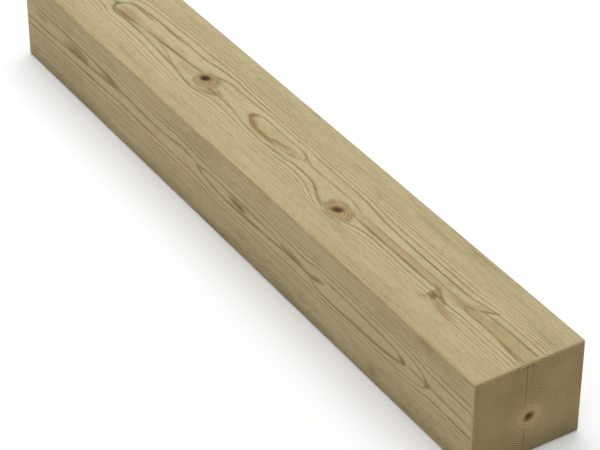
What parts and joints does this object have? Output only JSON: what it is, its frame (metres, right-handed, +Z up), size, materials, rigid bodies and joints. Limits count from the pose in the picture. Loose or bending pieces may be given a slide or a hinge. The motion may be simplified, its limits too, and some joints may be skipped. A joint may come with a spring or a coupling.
{
  "type": "squared timber post",
  "caption": "Solid squared softwood stick of rectangular section with lightly rounded long arrises and eased ends, used as a post or beam.",
  "frame": {"origin": "centre of the bottom face, which lies on the floor", "axes": "+X along the grain towards the end with the boxed heart in view, +Y across the wider side of the section, +Z up"},
  "size_m": [1, 0.14, 0.12],
  "materials": {
    "treated_pine": "planed, pale green-tan treated softwood, matt"
  },
  "bodies": {
    "root": {"timber_post": "treated_pine"}
  },
  "joints": []
}
